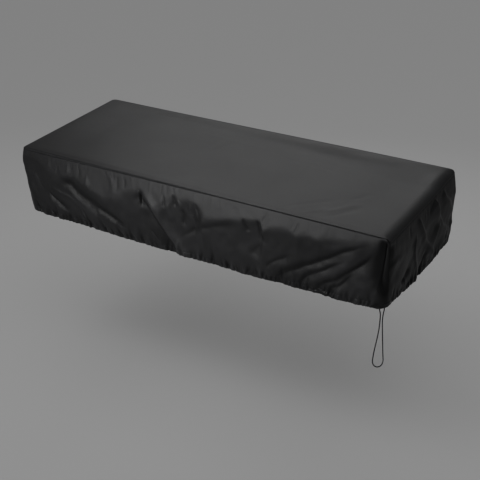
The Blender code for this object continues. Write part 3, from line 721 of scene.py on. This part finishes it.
def skirt_grid():
    """Outer face of the skirt as rows of columns, with its flat cut, and its painted shade and
    wear.
    """
    ring = Round(SKIRT_COLUMNS, SKIRT_CORNER)
    lift, bulge, crest, hem_inset, hem_drop = ring.wall_values()
    seam = ring.seam_height(lift)
    seam_x, seam_y = ring.outline(SEAM_RADIUS)
    steps = np.hypot(np.roll(seam_x, -1) - seam_x, np.roll(seam_y, -1) - seam_y)
    perimeter = steps.sum()
    round_it = np.concatenate(([0.0], np.cumsum(steps)[:-1]))
    turn = round_it / perimeter
    drop = seam + hem_drop + HEM_SLACK
    for noise, high in zip(SCALLOP_NOISES, SCALLOP_SHARES):
        drop += SCALLOP * high * wall_noise(turn, 0 * turn, noise)

    depth = skirt_depths(drop)
    above = drop - depth
    share = depth / drop
    radius = SEAM_RADIUS + (HEM_RADIUS - SEAM_RADIUS) * share**CORNER_GROWTH
    wide, turn = (np.broadcast_to(row, depth.shape) for row in (round_it, turn))
    folds = wall_folds(ring, radius, turn, depth) * smooth(share / FOLDS_START)
    gathers = hem_gathers(wide, above, perimeter)
    offset = plain_wall(depth, drop, bulge, crest, hem_inset)
    offset += HEM_SLACK * smooth((share - SLACK_FROM) / SLACK_OVER) + folds + gathers
    offset += tucks(wide, depth, perimeter, PUCKERS) * smooth(depth / PUCKER_START)
    offset += wall_rumple(turn, depth, crest)
    offset -= GROOVE_DEPTH * np.exp(-depth / (ring.eased(GROOVE_REACH) * MM))

    x, y = ring.outline(radius, offset)
    pull = np.clip(-gathers, 0.0, MOST_PULL) * EDGE_PULL * smooth(1.0 - above / PULL_REACH)
    grid = np.stack((skewed(x, y), y, seam - SEAM_DIP - depth + pull), axis=2)
    flat_uv = np.stack((wide, -depth), axis=2)
    # painted shade: the folds' hollows are coloured darker, and their ridges paler as from wear
    shade_and_wear = np.clip(folds / FOLD_SHADE_AND_WEAR[0], *FOLD_SHADE_AND_WEAR[1:])
    shade_and_wear += SEAM_WEAR[0] * np.exp(-depth / SEAM_WEAR[1])
    shade_and_wear += HEM_WEAR[0] * smooth(1.0 - above / HEM_WEAR[1])
    # painted shade near the hem: the gathers' hollows and the stitch groove are coloured darker,
    # and their crests paler as from wear
    gather_shade_and_wear = np.clip(gathers / GATHER_SHADE_AND_WEAR[0], *GATHER_SHADE_AND_WEAR[1:])
    shade_and_wear += gather_shade_and_wear * smooth(1.0 - above / GATHER_SHADE_AND_WEAR_REACH)
    return ring, grid, flat_uv, shade_and_wear, above


def build_skirt(material):
    """The skirt as one closed sheet: outer face, curl under the hem, and a coarser inside."""
    ring, outer, flat_uv, shade_and_wear, above = skirt_grid()
    normals = surface_normals(outer)
    inwards = -np.stack((np.cos(ring.angle), np.sin(ring.angle), 0 * ring.angle), axis=1)
    curls = []
    for turn in np.radians(HEM_CURL):
        step = inwards * CURL_RADIUS * (1 - math.cos(turn))
        step[:, 2] = -CURL_RADIUS * math.sin(turn) * CURL_SQUASH
        curls.append(outer[-1] + step)
    rows = np.vstack((outer, np.stack(curls)))
    uv_rows = np.vstack((flat_uv, np.stack([flat_uv[-1]] * len(curls))))
    shade_and_wear_rows = np.vstack((shade_and_wear, np.stack([shade_and_wear[-1]] * len(curls))))

    thick = NYLON + (HEM_THICKNESS - NYLON) * smooth(1.0 - above / CASING)
    inner = outer - normals * thick[:, :, None]
    inner[0] = outer[0] + inwards * NYLON
    inner[-1] = outer[-1] + inwards * HEM_THICKNESS
    picked = list(range(0, len(outer) - 1, 2)) + [len(outer) - 1]
    inner, inner_uv, inner_shade_and_wear = (part[picked, ::2] for part in (inner, flat_uv, 0 * shade_and_wear))

    count, half = ring.count, ring.count // 2
    numbers = np.arange(len(rows) * count).reshape(len(rows), count)
    inner_numbers = numbers.size + np.arange(len(inner) * half).reshape(len(inner), half)
    faces = []
    for upper, lower in zip(numbers, numbers[1:]):
        faces += ring_faces(upper, lower)
    for upper, lower in zip(inner_numbers, inner_numbers[1:]):
        faces += ring_faces(lower, upper)
    faces += join_halved(numbers[-1], inner_numbers[-1])
    faces += join_halved(numbers[0], inner_numbers[0], flip=True)
    points = np.vstack((rows.reshape(-1, 3), inner.reshape(-1, 3)))
    cut = np.vstack((uv_rows.reshape(-1, 2), inner_uv.reshape(-1, 2)))
    painted_shade_and_wear = np.concatenate((shade_and_wear_rows.ravel(), inner_shade_and_wear.ravel()))
    skirt = sheet_object("skirt_cloth", points, faces, cut, painted_shade_and_wear, material)
    return skirt, outer, normals, above


def top_height(x, y):
    """Height of the top's outer face at points inside its rolled rim."""
    lifts = []
    for wall, at in ((BACK_WALL, x), (RIGHT_WALL, y)):
        table = np.array(sorted(wall)) * MM
        lifts.append(np.interp(at, table[:, 0], table[:, 1]))
    from_back, from_right = WIDTH / 2 - y, LENGTH / 2 - x
    from_front, from_left = y + WIDTH / 2, x + LENGTH / 2
    back_rise = BACK_RISE + BACK_RISE_MORE * smooth((x - MORE_FROM) / MORE_OVER)
    a = lifts[0] * smooth((back_rise + BACK_LEVEL - from_back) / back_rise)
    b = lifts[1] * smooth((RIGHT_RISE + RIGHT_LEVEL - from_right) / RIGHT_RISE)
    height = LEVEL + a + b - a * b / MOST_LIFT

    hollow = np.clip(1.0 - (y / SAG_HALF_WIDTH) ** 2, 0.0, 1.0)
    height -= SAG * hollow * smooth((LENGTH / 2 - np.abs(x)) / SAG_END)
    folds = [(*fold[:6], [(px, -py) for px, py in fold[6]]) for fold in TOP_FOLDS]
    height += folds_over(x, -y, folds, np.ones_like(x))
    roll = np.array(FRONT_ROLL) * MM
    fall, reach = (np.interp(x, roll[:, 0], roll[:, k]) for k in (1, 2))
    height -= fall * smooth(1.0 - from_front / reach)
    inside = np.minimum(np.minimum(from_front, from_back), np.minimum(from_left, from_right))
    line = ridge(inside - ALLOWANCE_INSET, ALLOWANCE_WIDTH)
    line *= smooth((ALLOWANCE_HALF_LENGTH - np.abs(x)) / ALLOWANCE_END)
    height -= ALLOWANCE_DEPTH * line
    middle = SLACK_COUNT // 2
    for across, deep, seed, part in SLACK_CELLS:
        u, v = x / across + middle, y / deep + middle
        slack = soft_noise(u, v, SLACK_COUNT, SLACK_COUNT, seed)
        height += SLACK * part * slack * smooth(inside / SLACK_EDGE)
    return height


def rim_rows(ring):
    """Rows of the top's rim, from inside the seam up over the roll and in to the level part."""
    seam = ring.seam_height(ring.wall_values()[0])
    rows = []
    for outwards, rise in RIM_FOOT:
        x, y = ring.outline(SEAM_RADIUS, outwards * MM)
        rows.append(np.stack((skewed(x, y), y, seam + rise * MM), axis=1))
    inset = np.array(RIM_INSET) * MM
    start = seam + ROLL_START
    crest = top_height(*ring.outline(RIM_CREST_RADIUS, 0.0, inset))
    for turn in np.radians(ROLL_TURNS):
        radius = SEAM_RADIUS + (RIM_CREST_RADIUS - SEAM_RADIUS) * math.sin(turn)
        x, y = ring.outline(radius, 0.0, inset * (1 - math.cos(turn)))
        height = start + (crest - start) * math.sin(turn) ** ring.eased(RIM_SQUARENESS)
        rows.append(np.stack((skewed(x, y), y, height), axis=1))
    for share in LEVEL_STEPS:
        radius = RIM_CREST_RADIUS * (1 - share)
        x, y = ring.outline(radius, 0.0, inset + (LEVEL_INSET - inset) * share)
        rows.append(np.stack((skewed(x, y), y, top_height(x, y)), axis=1))
    return np.stack(rows)


def build_top(material):
    """The top panel as one closed sheet: rim rows that meet a level grid, and the same inside."""
    across, deep = TOP_COLUMNS
    ring = Round((across, deep, across, deep), TOP_CORNER)
    rim = rim_rows(ring)
    xs = np.linspace(-LENGTH / 2 + LEVEL_INSET, LENGTH / 2 - LEVEL_INSET, across + 1)
    ys = np.linspace(-WIDTH / 2 + LEVEL_INSET, WIDTH / 2 - LEVEL_INSET, deep + 1)
    gx, gy = np.meshgrid(xs, ys)
    level = np.stack((skewed(gx, gy), gy, top_height(gx, gy)), axis=2)

    numbers = np.arange(rim.shape[0] * ring.count).reshape(rim.shape[0], ring.count)
    grid = numbers.size + np.arange(gx.size).reshape(gx.shape)
    edges = (grid[0, :-1], grid[:-1, -1], grid[-1, :0:-1], grid[:0:-1, 0])
    corners = (grid[0, -1], grid[-1, -1], grid[-1, 0], grid[0, 0])
    border = [[*edge, *[corner] * TOP_CORNER] for edge, corner in zip(edges, corners)]
    border = np.concatenate(border)
    faces = []
    for lower, upper in zip(numbers, numbers[1:]):
        faces += ring_faces(upper, lower)
    for quad in ring_faces(border, numbers[-1]):
        faces.append(quad if quad[0] != quad[3] else quad[:3])
    cells = (grid[:-1, :-1], grid[:-1, 1:], grid[1:, 1:], grid[1:, :-1])
    faces += np.stack(cells, axis=-1).reshape(-1, 4).tolist()

    outer = np.vstack((rim.reshape(-1, 3), level.reshape(-1, 3)))
    inner_rim = rim - surface_normals(rim[::-1])[::-1] * NYLON
    inner_level = level - np.array((0.0, 0.0, NYLON))
    inner = np.vstack((inner_rim.reshape(-1, 3), inner_level.reshape(-1, 3)))
    shift = len(outer)
    faces += [[n + shift for n in face[::-1]] for face in faces]
    faces += ring_faces(numbers[0], numbers[0] + shift)
    points = np.vstack((outer, inner))
    rim_wear = np.repeat(np.interp(range(len(rim)), *RIM_WEAR), ring.count)
    shade_and_wear = np.concatenate((rim_wear, np.zeros(len(points) - len(rim_wear))))
    return sheet_object("top_cloth", points, faces, points[:, :2], shade_and_wear, material)


def cord_centres():
    """Ring centres down the drawcord's loop, from one exit to the other."""
    start, end = Vector(CORD_START), Vector(CORD_END)
    sideways = (end - start).normalized()
    down = Vector((0.0, 0.0, -1.0))
    outwards = down.cross(sideways).normalized()
    middle = (start + end) / 2
    hanging = [middle + (sideways * a + down * d + outwards * o) * MM for a, d, o in CORD_ROUTE]
    return smooth_path([tuple(p) for p in (start, *hanging, end)], CORD_RINGS)


def build_cord(material):
    """The loop of drawcord as a braided tube."""
    centres = cord_centres()
    tangents = np.gradient(centres, axis=0)
    tangents /= np.linalg.norm(tangents, axis=1, keepdims=True)
    normal = Vector(tangents[0]).orthogonal().normalized()
    angles = np.linspace(0.0, 2 * math.pi, CORD_SIDES, endpoint=False)
    points = []
    for k, (centre, tangent) in enumerate(zip(centres, tangents)):
        normal = (normal - Vector(tangent) * normal.dot(tangent)).normalized()
        side = Vector(tangent).cross(normal)
        wave = 2 * math.pi * BRAID_TURNS * k / (CORD_RINGS - 1) / BRAID_STRANDS
        relief = np.sin(BRAID_STRANDS * angles + wave) * np.sin(BRAID_STRANDS * angles - wave)
        radius = CORD_DIAMETER / 2 - BRAID_RELIEF + BRAID_RELIEF * relief
        ring = np.outer(np.cos(angles) * radius, normal) + np.outer(np.sin(angles) * radius, side)
        points.append(centre + ring)
    numbers = np.arange(CORD_RINGS * CORD_SIDES).reshape(CORD_RINGS, CORD_SIDES)
    faces = []
    for one, two in zip(numbers, numbers[1:]):
        faces += ring_faces(two, one)
    faces += [numbers[0].tolist()[::-1], numbers[-1].tolist()]
    length = np.arange(CORD_RINGS) / (CORD_RINGS - 1) * CORD_LENGTH
    turned = np.tile(angles / (2 * math.pi), CORD_RINGS)
    uv = np.stack((np.repeat(length, CORD_SIDES), turned), axis=1)
    points = np.vstack(points)
    cord = sheet_object("drawcord_loop", points, faces, uv, np.zeros(len(uv)), material)
    return cord, centres


def build_stitches(name, row_of, grid, normals, material):
    """A row of lockstitches round the skirt, laid on the given row of its grid."""
    path, out = (np.vstack((rows[row_of], rows[row_of][:1])) for rows in (grid, normals))
    reached = travelled(path)
    points, faces, uv = [], [], []
    for k in range(int(reached[-1] / STITCH_PITCH)):
        ends = [k * STITCH_PITCH + STITCH_LENGTH * share for share in STITCH_SHARES]
        middle = np.stack([[np.interp(s, reached, row) for row in path.T] for s in ends])
        facing = np.stack([[np.interp(s, reached, row) for row in out.T] for s in ends])
        ahead = middle[-1] - middle[0]
        ahead /= max(np.linalg.norm(ahead), 1e-9)
        base = len(points)
        for c, n, wide, high in zip(middle, facing, STITCH_WIDTHS, STITCH_HEIGHTS):
            side = np.cross(ahead, n)
            for a, b in STITCH_CORNERS:
                up = high + b * STITCH_ROUNDING
                points.append(c + (side * a * wide / 2 + n * up) * STITCH_WIDTH)
                uv.append((k * STITCH_PITCH, a * 0.1))
        for r in range(3):
            for s in range(4):
                a, b = base + 4 * r + s, base + 4 * r + (s + 1) % 4
                faces.append([a, b, b + 4, a + 4])
        faces += [[base + n for n in (0, 3, 2, 1)], [base + n for n in (12, 13, 14, 15)]]
    points, uv = np.array(points), np.array(uv)
    return sheet_object(name, points, faces, uv, np.zeros(len(points)), material)


class Looks:
    """A new material, its shader, and the nodes that feed it."""

    def __init__(self, name, colour, roughness, specular):
        self.material = bpy.data.materials.new(name)
        self.material.use_nodes = True
        self.nodes = self.material.node_tree.nodes
        self.links = self.material.node_tree.links
        self.shader = self.nodes["Principled BSDF"]
        self.shader.inputs["Base Color"].default_value = (*colour, 1.0)
        self.shader.inputs["Roughness"].default_value = roughness
        self.shader.inputs["Specular IOR Level"].default_value = specular

    def maths(self, operation, first, second=None):
        """A Math node fed by sockets or numbers."""
        node = self.nodes.new("ShaderNodeMath")
        node.operation = operation
        for socket, value in zip(node.inputs, (first, second)):
            if isinstance(value, (int, float)):
                socket.default_value = value
            elif value is not None:
                self.links.new(value, socket)
        return node.outputs[0]

    def noise(self, place, scale, detail):
        """A noise texture over a place, as a factor."""
        node = self.nodes.new("ShaderNodeTexNoise")
        node.inputs["Scale"].default_value = scale
        node.inputs["Detail"].default_value = detail
        self.links.new(place, node.inputs["Vector"])
        return node.outputs["Fac"]

    def bump(self, height, strength, distance, under=None):
        """A bump from a height, on top of the one under it."""
        node = self.nodes.new("ShaderNodeBump")
        node.inputs["Strength"].default_value = strength
        node.inputs["Distance"].default_value = distance
        self.links.new(height, node.inputs["Height"])
        if under is not None:
            self.links.new(under, node.inputs["Normal"])
        return node.outputs["Normal"]

    def shade_range(self, factor, colour, darkest, palest):
        """Feeds the shader's colour from a factor, between two shares of a colour."""
        ramp = self.nodes.new("ShaderNodeValToRGB")
        for element, share in zip(ramp.color_ramp.elements, (darkest, palest)):
            element.color = (*[share * c for c in colour], 1.0)
        self.links.new(factor, ramp.inputs["Fac"])
        self.links.new(ramp.outputs["Color"], self.shader.inputs["Base Color"])


def satin_nylon():
    """Black coated nylon: a fine plain weave, faint crinkles, edges worn a little paler, and
    painted shade in the hollows of folds and gathers.
    """
    looks = Looks("satin_black_nylon", NYLON_COLOUR, roughness=0.46, specular=0.11)
    cut = looks.nodes.new("ShaderNodeUVMap")
    cut.uv_map = "cut"
    split = looks.nodes.new("ShaderNodeSeparateXYZ")
    looks.links.new(cut.outputs[0], split.inputs[0])
    across, down = (
        looks.maths("SINE", looks.maths("MULTIPLY", split.outputs[k], 2 * math.pi / YARN_PITCH))
        for k in (0, 1)
    )
    crossings = looks.maths("MULTIPLY", across, down)
    weave = looks.bump(crossings, strength=0.25, distance=0.00006)
    crinkle = looks.noise(cut.outputs[0], scale=55.0, detail=3.0)
    crinkled = looks.bump(crinkle, strength=0.35, distance=0.0006, under=weave)
    looks.links.new(crinkled, looks.shader.inputs["Normal"])

    cloudy = looks.noise(cut.outputs[0], scale=9.0, detail=4.0)
    # the attribute carries painted shade in the skirt's fold and gather hollows together with wear
    # at its edges
    painted_shade_and_wear = looks.nodes.new("ShaderNodeAttribute")
    painted_shade_and_wear.attribute_name = "shade_and_wear"
    pale = looks.maths("ADD", looks.maths("MULTIPLY", cloudy, 0.5), painted_shade_and_wear.outputs["Fac"])
    looks.shade_range(pale, NYLON_COLOUR, darkest=0.55, palest=1.95)
    polish = looks.nodes.new("ShaderNodeMapRange")
    polish.inputs["To Min"].default_value = 0.40
    polish.inputs["To Max"].default_value = 0.50
    looks.links.new(cloudy, polish.inputs["Value"])
    looks.links.new(polish.outputs["Result"], looks.shader.inputs["Roughness"])
    return looks.material


def braided_cord():
    """Matt black braid, with the fine yarns across its strands as bump."""
    looks = Looks("matt_black_braid", CORD_COLOUR, roughness=0.7, specular=0.15)
    place = looks.nodes.new("ShaderNodeTexCoord")
    yarn = looks.noise(place.outputs["Object"], scale=1400.0, detail=2.0)
    yarns = looks.bump(yarn, strength=0.5, distance=0.0002)
    looks.links.new(yarns, looks.shader.inputs["Normal"])
    looks.shade_range(yarn, CORD_COLOUR, darkest=0.6, palest=1.6)
    return looks.material


def add_floor():
    """A plain pale floor that fills the view."""
    bpy.ops.object.select_all(action="DESELECT")
    bpy.ops.mesh.primitive_plane_add(size=FLOOR_SIZE, location=(0.0, 0.0, FLOOR_LEVEL))
    floor = bpy.context.object
    floor.name = "studio_floor"
    looks = Looks("pale_floor", FLOOR_COLOUR, roughness=0.9, specular=0.0)
    floor.data.materials.append(looks.material)


def aimed(name, data, direction, place=(0.0, 0.0, 0.0)):
    """Adds a light at a place, aimed along a direction."""
    obj = bpy.data.objects.new(name, data)
    obj.location = place
    obj.rotation_euler = Vector(direction).to_track_quat("-Z", "Y").to_euler()
    bpy.context.scene.collection.objects.link(obj)


def add_softbox(name, place, target, wide, tall, glow, spread=180.0):
    """A softbox aimed at a point; its power follows from its size and how brightly it glows."""
    light = bpy.data.lights.new(name, "AREA")
    light.shape = "RECTANGLE"
    light.size, light.size_y = wide, tall
    light.energy = glow * math.pi * wide * tall
    light.spread = math.radians(spread)
    aimed(name, light, Vector(target) - Vector(place), place)


def add_sun(name, direction, strength, spread):
    """A soft sun that shines along a direction."""
    light = bpy.data.lights.new(name, "SUN")
    light.energy = strength
    light.angle = math.radians(spread)
    aimed(name, light, direction)


def add_lights():
    """Soft light from above and in front, a softbox behind for the top's sheen, and a dim room."""
    world = bpy.data.worlds.new("dim_room")
    bpy.context.scene.world = world
    world.use_nodes = True
    world.node_tree.nodes["Background"].inputs["Color"].default_value = (*ROOM_COLOUR, 1.0)
    add_sun("overhead", (0.0, 0.30, -1.0), strength=1.2, spread=80.0)
    add_softbox("front_softbox", (-0.48, -1.70, -0.12), (0.10, -0.2, -0.05),
                wide=0.9, tall=0.5, glow=3.15, spread=62.0)
    add_softbox("back_softbox", (-0.66, 1.50, 0.96), (0.0, -0.1, 0.0),
                wide=1.56, tall=0.5, glow=2.22, spread=130.0)
    add_softbox("high_left_softbox", (-0.7, -1.1, 1.7), (0.0, -0.1, 0.0),
                wide=1.2, tall=1.2, glow=1.6)


def add_camera():
    """The camera, where the photograph was taken from."""
    camera = bpy.data.cameras.new("camera")
    camera.sensor_width = SENSOR
    camera.lens = FOCAL_PIXELS / IMAGE_SIDE * SENSOR
    obj = bpy.data.objects.new("camera", camera)
    obj.location = CAMERA_PLACE
    obj.rotation_euler = (math.radians(90.0 - CAMERA_PITCH), 0.0, math.radians(CAMERA_YAW))
    bpy.context.scene.collection.objects.link(obj)
    bpy.context.scene.camera = obj


add_camera()
nylon, braid = satin_nylon(), braided_cord()

cord, centres = build_cord(braid)
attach(cord, "root")
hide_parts("drawcord")

skirt, outer, normals, above = build_skirt(nylon)
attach(skirt, "root")
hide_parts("skirt")
casing_row = int(np.abs(above[:, 0] - CASING).argmin())
stitches = build_stitches("casing_stitches", casing_row, outer, normals, braid)
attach(stitches, "root")

top = build_top(nylon)
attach(top, "root")
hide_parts("top_panel")

add_floor()
add_lights()
